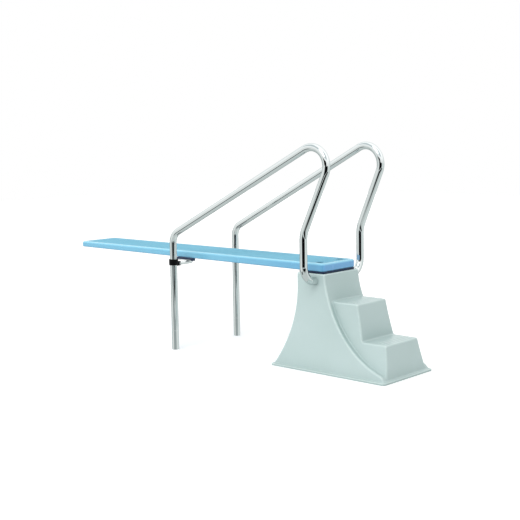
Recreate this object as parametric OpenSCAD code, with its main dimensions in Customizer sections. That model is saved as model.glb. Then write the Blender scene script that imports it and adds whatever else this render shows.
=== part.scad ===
// Elevated springboard: a moulded pedestal with two steps, a flexing board, two bent
// tube handrails that also stand on the deck, and a rubber-padded support on each front leg.
// +X runs along the board to its tip, +Y to the user's left, +Z up. Z = 0 is the deck.
// The origin is on the deck's centre line at the foot of the steps, on the pedestal's rear rim.

/* [Board] */
// Length of the board
board_l = 2170; // [1900:10:2400]
// Width of the board
board_w = 300; // [280:5:310]
// Thickness of the board over the pedestal
board_t = 45; // [42:1:50]
// Thickness of the board at its tip
tip_t = 37; // [32:1:41]
// Height of the top of the board above the deck
board_top = 603; // [590:1:620]
// Radius of the board's corners in plan
board_corner_r = 24; // [10:1:40]
// Thickness of the moulded board skin
board_skin = 4; // [3:0.5:5]
// Thickness of the gritted layer on top of the board
grit_t = 1; // [0.5:0.5:2]

/* [Pedestal] */
// Length of the footprint
base_l = 800; // [780:10:860]
// Width of the footprint
base_w = 464; // [450:2:490]
// Height of the flange that rests on the deck
flange_t = 12; // [8:1:16]
// Length of the tower's flat top
tower_l = 200; // [190:5:210]
// Width of the tower's flat top
tower_w = 316; // [312:2:320]
// Height of the lower tread
tread_low = 195; // [180:5:205]
// Height of the upper tread
tread_high = 395; // [380:5:405]
// Depth of each tread
tread_d = 155; // [150:1:160]
// Wall of the moulding
shell_t = 6; // [5:0.5:8]

/* [Handrails] */
// Outside diameter of the rail tube, a standard pool rail size
tube_d = 43; // [42:0.5:44]
// Wall of the rail tube
tube_wall = 2; // [1.5:0.5:3]
// Distance from the centre line to each front leg
leg_y = 277; // [270:1:285]
// Height at which the front leg would meet the slope of the rail
slope_z = 718; // [700:1:740]
// Height at which the two slopes of the rail would meet
crest_z = 1373; // [1340:1:1400]
// Bend radius at the top of the rail
crest_r = 105; // [90:5:120]

/* [Front support] */
// Diameter of the arm that carries the board on each leg
arm_d = 22; // [20:1:24]
// Height of the clamp on the front leg
clamp_h = 37; // [34:1:44]
// Length of each rubber pad along the board
pad_l = 140; // [130:2:150]

/* [Hidden] */
$fn = 96;

// Small lengths: a bonded joint, a running gap, and the overlap that makes cuts clean.
bond = 0.1;
gap = 1;
over = 1;

// The footprint: base_x is its middle, and the origin is on its rear rim.
rim_w = 20;
base_rear_x = -rim_w / 2;
base_x = base_rear_x + base_l / 2;
base_front_x = base_x + base_l / 2;

// Where the tower stands on the footprint.
tower_front_x = base_x + 255;
tower_rear_x = tower_front_x - tower_l;
tower_h = 545;
tower_y = tower_w / 2;

// Concave flares of the tower: circles that start upright at flare_z and end at the flange.
flare_z = 470;
flare_drop = flare_z - flange_t;
flange_lip = rim_w - shell_t;
flange_corner_r = 18;
front_run = base_front_x - flange_lip - tower_front_x;
side_run = base_w / 2 - flange_lip - tower_y;
front_flare_r = (front_run * front_run + flare_drop * flare_drop) / (2 * front_run);
side_flare_r = (side_run * side_run + flare_drop * flare_drop) / (2 * side_run);

// The rear edge of the tower sweeps down to the rear corners of the footprint.
sweep_r = 580;
sweep_z = 600;
sweep_x = tower_rear_x + 5 - sweep_r;

// The stair block stands inboard of that edge.
stair_y = 133;
stair_flare_z = 420;
stair_drop = stair_flare_z - flange_t;
stair_run = 56;
stair_flare_r = (stair_run * stair_run + stair_drop * stair_drop) / (2 * stair_run);
nose_high_x = tower_rear_x - 208;
foot_high_x = nose_high_x - 44;
nose_low_x = foot_high_x - tread_d - 2;
foot_low_x = nose_low_x - 32;

// Grip ridges across each tread.
ridge_r = 3;
ridge_rise = 1.5;
ridge_pitch = 24;
ridge_count = 3;
ridge_setback = 26;
ridge_end = 12;

// Board: rear end, tip, and the line just ahead of the front legs' pads where it flexes.
board_rear_x = base_x + 70;
board_tip_x = board_rear_x + board_l;
leg_x = base_x + 1155;
pad_x = leg_x + 30;
flex_x = pad_x + pad_l / 2 + 8;
board_bottom = board_top - board_t;
taper_x = base_x + 250;
function board_under(x) =
    board_bottom + (board_t - tip_t) * max(0, x - taper_x) / (board_tip_x - taper_x);
flex_z = (board_top + board_under(flex_x)) / 2;
seam_r = 30;
seam_gap = 0.5;
grit_margin = 20;
grit_corner_r = 12;

// Bolts through the board into the pedestal.
bolt_x = board_rear_x + 70;
bolt_y = 90;
bolt_d = 12;
bolt_hole_d = 13;
recess_d = 46;
recess_depth = 15;
boss_d = recess_d + 2 * board_skin;
bolt_head_d = 28;
bolt_head_h = 5;
washer_t = 2.5;
washer_d = 36;
nut_h = 10;
nut_d = 21;
plate_t = 12;
plate_inset = 34;
plate_w = tower_w - 46;
panel_clear = 6;
panel_setback = 14;
pad_t = board_bottom - tower_h;

// Rails.
tube_r = tube_d / 2;
bore_r = tube_r - tube_wall;
rail_foot = [leg_x, leg_y, 0];
rail_low = [leg_x, leg_y, slope_z];
rail_crest = [base_x - 149, 240, crest_z];
rail_rear = [base_x + 120, 258, 775];
rail_end_z = 505;
rail_elbow = [rail_rear.x, rail_rear.y, rail_end_z];
rail_end = [rail_rear.x, tower_y + bond, rail_end_z];
RAIL = [rail_foot, rail_low, rail_crest, rail_rear, rail_elbow, rail_end];
RAIL_BENDS = [80, crest_r, 160, 92];
bend_reach = 0.5;
bend_swell = 0.2;
mark_z = 120;
mark_h = 3;
mark_depth = 0.4;
rail_insert_l = 6;
rail_bolt_l = 30;
rail_bolt_d = 10;
rail_head_d = 17;
rail_head_h = 6.4;
rail_plate_t = 5;
plug_l = 25;

// Front supports: an arm in the lug of a clamp, a saddle plate and a rubber pad.
arm_z = 537;
arm_end_y = 128;
clamp_r = tube_r + 6.5;
clamp_z = arm_z + 11;
lug_w = 32;
lug_h = 28;
lug_end_y = 230;
slit_w = 3;
clamp_bolt_y = 240;
clamp_bolt_d = 8;
clamp_head_d = 13;
clamp_head_h = 6;
saddle_t = 4;
saddle_z = arm_z + arm_d / 2 - 1;
saddle_in_y = 128;
saddle_out_y = 158;
lip_t = 9;
lip_drop = 3;
saddle_l = pad_l - 2 * lip_t - 2 * bond;
pad_screw_d = 6;
pad_screw_inset = 16;

// Helpers.
module along_x(x, y, z, length, r) {
    translate([x, y, z]) rotate([0, 90, 0]) cylinder(h = length, r = r);
}

module along_y(x, y, z, length, r) {
    translate([x, y, z]) rotate([-90, 0, 0]) cylinder(h = length, r = r);
}

// A flat shape drawn in X and Z, spread evenly to both sides of the centre line.
module across(width) {
    translate([0, width / 2, 0]) rotate([90, 0, 0]) linear_extrude(width) children();
}

module both_sides() {
    children();
    mirror([0, 1, 0]) children();
}

// A rectangle with round corners, from x0 to x1, centred on the length axis.
module rounded_plan(x0, x1, width, r) {
    translate([x0 + r, -width / 2]) square([x1 - x0 - 2 * r, width]);
    translate([x0, r - width / 2]) square([x1 - x0, width - 2 * r]);
    for (x = [x0 + r, x1 - r], y = [r - width / 2, width / 2 - r])
        translate([x, y]) circle(r = r);
}

// Pedestal moulding. The same form, drawn smaller by t, is its hollow.
module tower_form(t) {
    difference() {
        translate([base_rear_x + flange_lip + t, flange_lip + t - base_w / 2, 0])
            cube([base_l - 2 * flange_lip - 2 * t, base_w - 2 * flange_lip - 2 * t, tower_h - t]);
        front_cut(t);
        sweep_cut(t);
        both_sides() side_cut(tower_y - t, flare_z, side_flare_r);
    }
}

module front_cut(t) {
    x = tower_front_x - t;
    along_y(x + front_flare_r, -base_w, flare_z, 2 * base_w, front_flare_r);
    translate([x, -base_w, flare_z]) cube([base_l, 2 * base_w, tower_h]);
}

module sweep_cut(t) {
    along_y(sweep_x, -base_w, sweep_z, 2 * base_w, sweep_r + t);
    translate([sweep_x - base_l, -base_w, sweep_z - sweep_r - t]) cube([base_l, 2 * base_w, base_l]);
}

module side_cut(y, z, r) {
    along_x(-base_l, y + r, z, 2 * base_l, r);
    translate([-base_l, y, z]) cube([2 * base_l, base_w, tower_h]);
}

module stair_form(t) {
    difference() {
        across(base_w - 2 * flange_lip - 2 * t) polygon([
            [foot_low_x + t, 0], [tower_front_x - 2 * t, 0], [tower_front_x - 2 * t, tread_high - t],
            [nose_high_x + t, tread_high - t], [foot_high_x + t, tread_low - t],
            [nose_low_x + t, tread_low - t], [foot_low_x + t, flange_t]]);
        both_sides() side_cut(stair_y - t, stair_flare_z, stair_flare_r);
        front_cut(t);
    }
}

module ridges(nose_x, z) {
    for (i = [0 : ridge_count - 1])
        along_y(nose_x + ridge_setback + i * ridge_pitch, ridge_end - stair_y, z + ridge_rise - ridge_r,
            2 * (stair_y - ridge_end), ridge_r);
}

module pedestal_form(t) {
    tower_form(t);
    stair_form(t);
}

module pedestal_shell() {
    color("#c3d7d5") difference() {
        union() {
            pedestal_form(0);
            linear_extrude(flange_t) rounded_plan(base_rear_x, base_front_x, base_w, flange_corner_r);
            ridges(nose_high_x, tread_high);
            ridges(nose_low_x, tread_low);
        }
        translate([0, 0, -bond]) pedestal_form(shell_t);
        for (y = [-bolt_y, bolt_y])
            translate([bolt_x, y, tower_h - 2 * shell_t]) cylinder(h = 3 * shell_t, d = bolt_hole_d);
        both_sides()
            along_y(rail_end.x, tower_y - 2 * shell_t, rail_end_z, 3 * shell_t, rail_bolt_d / 2 + 0.5);
    }
}

module pedestal_top_plate() {
    color("#b98f5c") difference() {
        translate([tower_rear_x + plate_inset, -plate_w / 2, tower_h - shell_t - plate_t - bond])
            cube([tower_l - plate_inset - shell_t - 4, plate_w, plate_t]);
        for (y = [-bolt_y, bolt_y])
            translate([bolt_x, y, tower_h - 60]) cylinder(h = 100, d = bolt_hole_d);
    }
}

module tread_panel(nose_x, z) {
    width = 2 * (stair_y - shell_t - panel_clear);
    translate([nose_x + panel_setback, -width / 2, z - shell_t - plate_t - bond])
        cube([tread_d - panel_clear - panel_setback, width, plate_t]);
}

module tread_panels() {
    color("#b98f5c") {
        tread_panel(nose_high_x, tread_high);
        tread_panel(nose_low_x, tread_low);
    }
}

module rail_backing_plates() {
    color("#c9ccd0") both_sides() difference() {
        translate([rail_end.x - 30, tower_y - shell_t - rail_plate_t - bond, rail_end_z - 24])
            cube([60, rail_plate_t, 48]);
        along_y(rail_end.x, tower_y - 30, rail_end_z, 40, rail_bolt_d / 2 + 0.5);
    }
}

module rear_mount_pad() {
    color("#16233f") difference() {
        translate([board_rear_x + 3, -board_w / 2 + 8, tower_h])
            cube([tower_front_x - board_rear_x - 6, board_w - 16, pad_t]);
        for (y = [-bolt_y, bolt_y])
            translate([bolt_x, y, tower_h - over]) cylinder(h = pad_t + 2 * over, d = bolt_hole_d);
    }
}

// The board's full outline, drawn smaller by t on every side.
module board_form(t) {
    intersection() {
        translate([0, 0, board_bottom - over]) linear_extrude(board_t + 2 * over)
            rounded_plan(board_rear_x + t, board_tip_x - t, board_w - 2 * t, board_corner_r - t);
        across(board_w + 2 * over) polygon([
            [board_rear_x - over, board_bottom + t], [taper_x, board_bottom + t],
            [board_tip_x + over, board_under(board_tip_x + over) + t],
            [board_tip_x + over, board_top - t], [board_rear_x - over, board_top - t]]);
    }
}

// The gritted layer lies in a shallow panel on top of the board.
module grit_panel(grow, depth) {
    translate([0, 0, board_top - depth]) linear_extrude(depth + over)
        rounded_plan(board_rear_x + grit_margin - grow, board_tip_x - grit_margin + grow,
            board_w - 2 * grit_margin + 2 * grow, grit_corner_r);
}

module rear_span(x_end) {
    translate([board_rear_x - over, -board_w, 0])
        cube([x_end - board_rear_x + over, 2 * board_w, 2 * board_top]);
}

module front_span(x_start) {
    translate([x_start, -board_w, 0]) cube([board_l, 2 * board_w, 2 * board_top]);
}

module seam_barrel(r) {
    along_y(flex_x, -board_w, flex_z, 2 * board_w, r);
}

module bolt_positions() {
    for (y = [-bolt_y, bolt_y]) translate([bolt_x, y, 0]) children();
}

module board_skin_rear() {
    color("#7fc4e0") difference() {
        intersection() {
            board_form(0);
            union() {
                rear_span(flex_x);
                seam_barrel(seam_r);
            }
        }
        grit_panel(0, grit_t);
        difference() {
            intersection() {
                board_form(board_skin);
                rear_span(flex_x - board_skin);
            }
            bolt_positions() cylinder(h = board_top + over, d = boss_d);
        }
        bolt_positions() cylinder(h = board_top + over, d = bolt_hole_d);
        bolt_positions() translate([0, 0, board_top - recess_depth])
            cylinder(h = 2 * recess_depth, d = recess_d);
    }
}

module board_core_rear() {
    color("#c8a068") difference() {
        intersection() {
            board_form(board_skin + bond);
            rear_span(flex_x - board_skin - bond);
        }
        bolt_positions() cylinder(h = board_top + over, d = boss_d + 2 * bond);
    }
}

module non_slip_rear() {
    color("#86c3d6") difference() {
        intersection() {
            grit_panel(-bond, grit_t - bond);
            translate([0, 0, board_top - grit_t]) cube([4 * board_l, board_w, 2 * grit_t], center = true);
            union() {
                rear_span(flex_x);
                seam_barrel(seam_r);
            }
        }
        bolt_positions() cylinder(h = board_top + over, d = recess_d);
    }
}

module board_skin_front() {
    color("#7fc4e0") difference() {
        intersection() {
            board_form(0);
            front_span(flex_x);
        }
        seam_barrel(seam_r + seam_gap);
        grit_panel(0, grit_t);
        intersection() {
            board_form(board_skin);
            front_span(flex_x + seam_r + 2 * board_skin);
        }
    }
}

module board_core_front() {
    color("#c8a068") intersection() {
        board_form(board_skin + bond);
        front_span(flex_x + seam_r + 2 * board_skin + bond);
    }
}

module non_slip_front() {
    color("#86c3d6") difference() {
        intersection() {
            grit_panel(-bond, grit_t - bond);
            translate([0, 0, board_top - grit_t]) cube([4 * board_l, board_w, 2 * grit_t], center = true);
            front_span(flex_x);
        }
        seam_barrel(seam_r + seam_gap);
    }
}

// Fasteners that hold the board down.
recess_floor = board_top - recess_depth;
nut_z = tower_h - shell_t - plate_t - 2 * bond - washer_t - nut_h;

module board_bolts() {
    color("#d4d6d8") bolt_positions() {
        translate([0, 0, nut_z - 6]) cylinder(h = recess_floor + washer_t - nut_z + 6, d = bolt_d);
        difference() {
            translate([0, 0, recess_floor + washer_t + bond]) cylinder(h = bolt_head_h, d = bolt_head_d);
            translate([0, 0, recess_floor + washer_t + 2]) cylinder(h = bolt_head_h, d = 9, $fn = 6);
        }
        translate([0, 0, recess_floor]) cylinder(h = washer_t + 1, d = bolt_d);
    }
}

module ring(z, h, outer_d, inner_d) {
    translate([0, 0, z]) difference() {
        cylinder(h = h, d = outer_d);
        translate([0, 0, -over]) cylinder(h = h + 2 * over, d = inner_d);
    }
}

module board_bolt_washers() {
    color("#d4d6d8") bolt_positions() {
        ring(recess_floor, washer_t, washer_d, bolt_d + 0.4);
        ring(nut_z + nut_h, washer_t, washer_d, bolt_d + 0.4);
    }
}

module board_bolt_nuts() {
    color("#d4d6d8") bolt_positions() difference() {
        translate([0, 0, nut_z]) cylinder(h = nut_h - bond, d = nut_d, $fn = 6);
        translate([0, 0, nut_z - over]) cylinder(h = nut_h + 2 * over, d = bolt_d + 0.1);
    }
}

// A bent round tube through a list of corners, each with its own bend radius.
function unit(v) = v / norm(v);
function turn(p, i) = acos(unit(p[i] - p[i - 1]) * unit(p[i + 1] - p[i]));
function setback(p, r, i) = (i == 0 || i == len(p) - 1) ? 0 : r[i - 1] * tan(turn(p, i) / 2);

// Turns the Z axis along a direction.
module aim(from, to) {
    v = to - from;
    yaw = atan2(v.y, v.x);
    lean = acos(v.z / norm(v));
    translate(from) rotate([0, lean, yaw]) children();
}

module tube_profile(r_out, r_in) {
    difference() {
        circle(r = r_out);
        if (r_in > 0) circle(r = r_in);
    }
}

module bend(p, i, radius, r_out, r_in) {
    a = unit(p[i] - p[i - 1]);
    b = unit(p[i + 1] - p[i]);
    n = unit(cross(a, b));
    c = cross(n, a);
    start = p[i] - a * radius * tan(turn(p, i) / 2);
    multmatrix([
        [-c.x, a.x, n.x, start.x + c.x * radius],
        [-c.y, a.y, n.y, start.y + c.y * radius],
        [-c.z, a.z, n.z, start.z + c.z * radius]])
        rotate_extrude(angle = turn(p, i)) translate([radius, 0]) tube_profile(r_out, r_in);
}

// Each straight reaches a little way into the bends, whose wall is a hair thicker.
module tube_run(p, radii, r_out, r_in) {
    for (i = [0 : len(p) - 2]) {
        d = unit(p[i + 1] - p[i]);
        first = i == 0 ? 0 : bend_reach;
        last = i == len(p) - 2 ? 0 : bend_reach;
        from = p[i] + d * (setback(p, radii, i) - first);
        to = p[i + 1] - d * (setback(p, radii, i + 1) - last);
        aim(from, to) linear_extrude(norm(to - from)) tube_profile(r_out, r_in);
    }
    for (i = [1 : len(p) - 2]) bend(p, i, radii[i - 1], r_out + bend_swell, r_in - bend_swell);
}

module handrail() {
    difference() {
        tube_run(RAIL, RAIL_BENDS, tube_r, bore_r);
        // A shallow line around the leg marks how deep it goes into a deck socket.
        translate([rail_foot.x, rail_foot.y, mark_z]) difference() {
            cylinder(h = mark_h, r = tube_r + over);
            cylinder(h = mark_h, r = tube_r - mark_depth);
        }
    }
}

module handrail_left() {
    color("#dfe4e6") handrail();
}

module handrail_right() {
    color("#dfe4e6") mirror([0, 1, 0]) handrail();
}

module rail_end_inserts() {
    color("#b9bdc2") both_sides() difference() {
        along_y(rail_end.x, rail_end.y + 0.5, rail_end_z, rail_insert_l, bore_r - bond);
        along_y(rail_end.x, rail_end.y - over, rail_end_z, rail_bolt_l, rail_bolt_d / 2 + 0.05);
    }
}

rail_head_y = tower_y - shell_t - rail_plate_t - 2 * bond - washer_t;

module rail_end_bolts() {
    color("#d4d6d8") both_sides() {
        along_y(rail_end.x, rail_head_y - bond, rail_end_z, rail_bolt_l, rail_bolt_d / 2);
        translate([rail_end.x, rail_head_y - bond, rail_end_z]) rotate([90, 0, 0])
            cylinder(h = rail_head_h, d = rail_head_d, $fn = 6);
    }
}

module rail_end_washers() {
    color("#d4d6d8") both_sides() difference() {
        along_y(rail_end.x, rail_head_y, rail_end_z, washer_t - bond, 12);
        along_y(rail_end.x, rail_head_y - over, rail_end_z, 2 * over + washer_t, rail_bolt_d / 2 + 0.2);
    }
}

module leg_end_plugs() {
    color("#2b2d30") both_sides() translate([rail_foot.x, rail_foot.y, 0])
        cylinder(h = plug_l, r = bore_r - bond);
}

// The clamp wraps the leg; its lug is split and pinches both the leg and the arm.
module leg_clamp() {
    difference() {
        union() {
            translate([leg_x, leg_y, clamp_z - clamp_h / 2]) cylinder(h = clamp_h, r = clamp_r);
            translate([leg_x - lug_w / 2, lug_end_y, arm_z - lug_h / 2])
                cube([lug_w, leg_y - lug_end_y, lug_h]);
        }
        translate([leg_x, leg_y, 0]) cylinder(h = 2 * board_top, r = tube_r + bond);
        along_y(leg_x, lug_end_y - over, arm_z, leg_y - lug_end_y, arm_d / 2 + bond);
        translate([leg_x - slit_w / 2, lug_end_y - over, arm_z - clamp_h])
            cube([slit_w, leg_y - lug_end_y, 3 * clamp_h]);
        along_x(leg_x - lug_w, clamp_bolt_y, arm_z, 2 * lug_w, clamp_bolt_d / 2 + 0.2);
    }
}

module leg_clamp_left() {
    color("#1b1c1e") leg_clamp();
}

module leg_clamp_right() {
    color("#1b1c1e") mirror([0, 1, 0]) leg_clamp();
}

module clamp_bolts() {
    color("#b9bdc2") both_sides() {
        along_x(leg_x - lug_w / 2 - 8, clamp_bolt_y, arm_z, lug_w + 8 + bond, clamp_bolt_d / 2);
        translate([leg_x + lug_w / 2 + bond, clamp_bolt_y, arm_z]) rotate([0, 90, 0]) difference() {
            cylinder(h = clamp_head_h, d = clamp_head_d);
            translate([0, 0, 3]) cylinder(h = clamp_head_h, d = 6, $fn = 6);
        }
    }
}

module clamp_nuts() {
    x = leg_x - lug_w / 2 - clamp_head_h - bond;
    color("#b9bdc2") both_sides() difference() {
        translate([x, clamp_bolt_y, arm_z]) rotate([0, 90, 0])
            cylinder(h = clamp_head_h, d = clamp_head_d + 2, $fn = 6);
        along_x(x - over, clamp_bolt_y, arm_z, clamp_head_h + 2 * over, clamp_bolt_d / 2 + 0.05);
    }
}

module support_arm() {
    difference() {
        union() {
            along_y(leg_x, arm_end_y, arm_z, leg_y - tube_r - 4 - arm_end_y, arm_d / 2);
            translate([leg_x, arm_end_y, arm_z]) sphere(d = arm_d);
        }
        along_x(leg_x - arm_d, clamp_bolt_y, arm_z, 2 * arm_d, clamp_bolt_d / 2 + 0.1);
        // A flat along the top seats the saddle plate.
        translate([leg_x - arm_d / 2, saddle_in_y - arm_d, saddle_z - bond])
            cube([arm_d, saddle_out_y - saddle_in_y + arm_d + bond, arm_d]);
    }
}

module support_arm_left() {
    color("#dfe4e6") support_arm();
}

module support_arm_right() {
    color("#dfe4e6") mirror([0, 1, 0]) support_arm();
}

module pad_screw_positions() {
    for (x = [pad_x - pad_l / 2 + pad_screw_inset, pad_x + pad_l / 2 - pad_screw_inset])
        translate([x, (saddle_in_y + saddle_out_y) / 2, 0]) children();
}

module saddle_plates() {
    color("#c9ccd0") both_sides() difference() {
        translate([pad_x - saddle_l / 2, saddle_in_y, saddle_z])
            cube([saddle_l, saddle_out_y - saddle_in_y, saddle_t]);
        pad_screw_positions() cylinder(h = board_top, d = pad_screw_d + 0.4);
    }
}

// Each pad fills the space between its plate and the board's underside, and hooks down
// over both ends of the plate.
module support_pads() {
    color("#16233f") both_sides() difference() {
        translate([pad_x - pad_l / 2, saddle_in_y, saddle_z - lip_drop])
            cube([pad_l, saddle_out_y - saddle_in_y, board_t + lip_drop]);
        translate([pad_x - saddle_l / 2 - bond, 0, 0])
            cube([saddle_l + 2 * bond, board_w, saddle_z + saddle_t + bond]);
        across(2 * board_w) polygon([
            [pad_x - pad_l, board_under(pad_x - pad_l) - bond],
            [pad_x + pad_l, board_under(pad_x + pad_l) - bond],
            [pad_x + pad_l, board_top], [pad_x - pad_l, board_top]]);
        pad_screw_positions() cylinder(h = board_top, d = pad_screw_d - 0.6);
    }
}

module pad_screws() {
    color("#d4d6d8") both_sides() pad_screw_positions() {
        translate([0, 0, saddle_z - 3.6]) cylinder(h = 10, d = pad_screw_d - 0.8);
        translate([0, 0, saddle_z - 3.6]) cylinder(h = 3.5, d = 11);
    }
}

pedestal_shell();
pedestal_top_plate();
tread_panels();
rail_backing_plates();
rear_mount_pad();
board_skin_rear();
board_core_rear();
non_slip_rear();
board_skin_front();
board_core_front();
non_slip_front();
board_bolts();
board_bolt_washers();
board_bolt_nuts();
handrail_left();
handrail_right();
rail_end_inserts();
rail_end_bolts();
rail_end_washers();
leg_end_plugs();
leg_clamp_left();
leg_clamp_right();
clamp_bolts();
clamp_nuts();
support_arm_left();
support_arm_right();
saddle_plates();
support_pads();
pad_screws();
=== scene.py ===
import math

import bmesh
import bpy
import numpy as np
from mathutils import Matrix, Vector

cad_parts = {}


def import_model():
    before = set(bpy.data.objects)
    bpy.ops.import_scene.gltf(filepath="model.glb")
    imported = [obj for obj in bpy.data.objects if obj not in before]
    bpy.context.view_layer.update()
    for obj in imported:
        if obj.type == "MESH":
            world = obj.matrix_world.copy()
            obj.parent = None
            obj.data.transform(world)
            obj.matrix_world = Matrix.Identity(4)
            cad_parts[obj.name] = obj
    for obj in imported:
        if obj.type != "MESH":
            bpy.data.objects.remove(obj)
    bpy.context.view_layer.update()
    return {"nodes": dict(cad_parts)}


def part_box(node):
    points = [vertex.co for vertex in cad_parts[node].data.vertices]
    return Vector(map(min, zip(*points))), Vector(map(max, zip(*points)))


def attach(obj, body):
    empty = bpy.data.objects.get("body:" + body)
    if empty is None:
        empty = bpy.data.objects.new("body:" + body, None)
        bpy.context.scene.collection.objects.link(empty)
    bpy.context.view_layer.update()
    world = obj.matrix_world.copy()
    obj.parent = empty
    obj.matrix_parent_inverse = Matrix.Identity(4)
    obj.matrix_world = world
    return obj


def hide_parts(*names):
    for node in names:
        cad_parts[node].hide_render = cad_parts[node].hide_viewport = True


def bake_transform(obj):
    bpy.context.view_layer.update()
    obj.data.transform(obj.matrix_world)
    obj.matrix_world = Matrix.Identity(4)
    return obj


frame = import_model()

# ---------------------------------------------------------------- sizes, in metres
MM = 0.001


def span(node):
    low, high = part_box(node)
    return np.array(low), np.array(high)


# Pedestal moulding.
shell_low, shell_high = span("pedestal_shell")
BASE_X = (shell_low[0] + shell_high[0]) / 2
BASE_HALF_L = (shell_high[0] - shell_low[0]) / 2
BASE_HALF_W = shell_high[1]
TOWER_TOP = shell_high[2]
TOWER_FRONT = BASE_X + 255 * MM
TOWER_REAR = TOWER_FRONT - 200 * MM
TOWER_HALF_W = 158 * MM
FLANGE_T = 12 * MM
FLANGE_LIP = 14 * MM
FLANGE_CORNER = 18 * MM
FLARE_Z = 470 * MM
SWEEP_R = 580 * MM
SWEEP_X = TOWER_REAR + 5 * MM - SWEEP_R
SWEEP_Z = 600 * MM
STAIR_HALF_W = 133 * MM
STAIR_FLARE_Z = 420 * MM
STAIR_FLARE = 56 * MM
TREAD_LOW = 195 * MM
TREAD_HIGH = 395 * MM
NOSE_HIGH = TOWER_REAR - 208 * MM
FOOT_HIGH = NOSE_HIGH - 44 * MM
NOSE_LOW = FOOT_HIGH - 157 * MM
FOOT_LOW = NOSE_LOW - 32 * MM
RIDGE_SETBACK = 26 * MM
RIDGE_PITCH = 24 * MM
RIDGE_COUNT = 3
SHELL_WALL = 6 * MM

# Board.
skin_low, skin_high = span("board_skin_rear")
BOARD_REAR = skin_low[0]
BOARD_TIP = span("board_skin_front")[1][0]
BOARD_HALF_W = skin_high[1]
BOARD_TOP = skin_high[2]
BOARD_BOTTOM = skin_low[2]
TIP_RISE = 8 * MM
TAPER_X = TOWER_FRONT - 5 * MM
BOARD_CORNER = 24 * MM
BOARD_SKIN = 4 * MM
GRIT_MARGIN = 20 * MM
GRIT_CORNER = 12 * MM
GRIT_T = 1 * MM

# Bolts that hold the board down.
bolt_low, bolt_high = span("board_bolts")
BOLT_X = (bolt_low[0] + bolt_high[0]) / 2
BOLT_HEAD_R = (bolt_high[0] - bolt_low[0]) / 2
BOLT_Y = bolt_high[1] - BOLT_HEAD_R
RECESS_R = 23 * MM
BOLT_WASHER_T = 2.5 * MM
RECESS_DEPTH = BOARD_TOP - span("board_bolt_washers")[1][2] + BOLT_WASHER_T
BOLT_R = 6 * MM
BOLT_HOLE_R = 6.5 * MM
NUT_PLAY = 0.05 * MM

# Rails and the front supports.
plug_low, plug_high = span("leg_end_plugs")
plug_r = (plug_high[0] - plug_low[0]) / 2
LEG_X = (plug_low[0] + plug_high[0]) / 2
LEG_Y = plug_high[1] - plug_r
TUBE_R = 21.5 * MM
BORE_R = 19.5 * MM
rail_bolt_low, rail_bolt_high = span("rail_end_bolts")
RAIL_END_X = (rail_bolt_low[0] + rail_bolt_high[0]) / 2
RAIL_END_Z = (rail_bolt_low[2] + rail_bolt_high[2]) / 2
RAIL_PATH = [
    (LEG_X, LEG_Y, 0),
    (LEG_X, LEG_Y, 718 * MM),
    (BASE_X - 149 * MM, 240 * MM, 1373 * MM),
    (RAIL_END_X, 258 * MM, 775 * MM),
    (RAIL_END_X, 258 * MM, RAIL_END_Z),
    (RAIL_END_X, TOWER_HALF_W + 0.1 * MM, RAIL_END_Z),
]
RAIL_BENDS = [80 * MM, 105 * MM, 160 * MM, 92 * MM]
RAIL_HOLE_R = 5.5 * MM
MARK_Z = 120 * MM
MARK_H = 3 * MM
clamp_low, clamp_high = span("leg_clamp_left")
arm_low, arm_high = span("support_arm_left")
ARM_R = (arm_high[0] - arm_low[0]) / 2
ARM_Z = 537 * MM
CLAMP_BOLT_Y = 240 * MM
CLAMP_BOLT_R = 4 * MM
saddle_low, saddle_high = span("saddle_plates")
support_pad_low, support_pad_high = span("support_pads")
SADDLE_INNER_Y = min(v.co.y for v in frame["nodes"]["saddle_plates"].data.vertices if v.co.y > 0)


def board_under(x):
    """Height of the board's underside, which rises towards the tip."""
    share = np.clip((x - TAPER_X) / (BOARD_TIP - TAPER_X), 0, 1)
    return BOARD_BOTTOM + TIP_RISE * share


# ---------------------------------------------------------------- mesh tools
def linked(name, data):
    """A new object that is in the scene."""
    obj = bpy.data.objects.new(name, data)
    bpy.context.scene.collection.objects.link(obj)
    return obj


def new_object(name, vertices, faces, smooth_angle=35):
    """A mesh object, smooth except along edges sharper than smooth_angle degrees."""
    mesh = bpy.data.meshes.new(name)
    mesh.from_pydata([tuple(v) for v in vertices], [], [tuple(f) for f in faces])
    mesh.update()
    obj = linked(name, mesh)
    finish_mesh(obj, smooth_angle)
    return obj


def finish_mesh(obj, smooth_angle=35):
    """Merges doubles, turns normals outward and sets which edges look sharp."""
    bm = bmesh.new()
    bm.from_mesh(obj.data)
    bmesh.ops.remove_doubles(bm, verts=bm.verts, dist=1e-6)
    bmesh.ops.recalc_face_normals(bm, faces=bm.faces)
    bm.to_mesh(obj.data)
    bm.free()
    obj.data.shade_smooth()
    obj.data.set_sharp_from_angle(angle=math.radians(smooth_angle))


def apply_modifiers(obj):
    """Bakes the modifiers of obj into its mesh."""
    graph = bpy.context.evaluated_depsgraph_get()
    baked = bpy.data.meshes.new_from_object(obj.evaluated_get(graph))
    obj.modifiers.clear()
    obj.data = baked


def cut(obj, cutter, operation="DIFFERENCE"):
    """Cuts obj with a closed cutter, which is used up."""
    modifier = obj.modifiers.new("cut", "BOOLEAN")
    modifier.operation = operation
    modifier.solver = "EXACT"
    modifier.object = cutter
    apply_modifiers(obj)
    bpy.data.objects.remove(cutter)
    finish_mesh(obj)
    return obj


def join(name, *objects):
    """One object from several, which are used up."""
    vertices, faces = [], []
    for o in objects:
        start = len(vertices)
        vertices += [o.matrix_world @ v.co for v in o.data.vertices]
        faces += [[start + i for i in p.vertices] for p in o.data.polygons]
        bpy.data.objects.remove(o)
    return new_object(name, vertices, faces)


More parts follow.
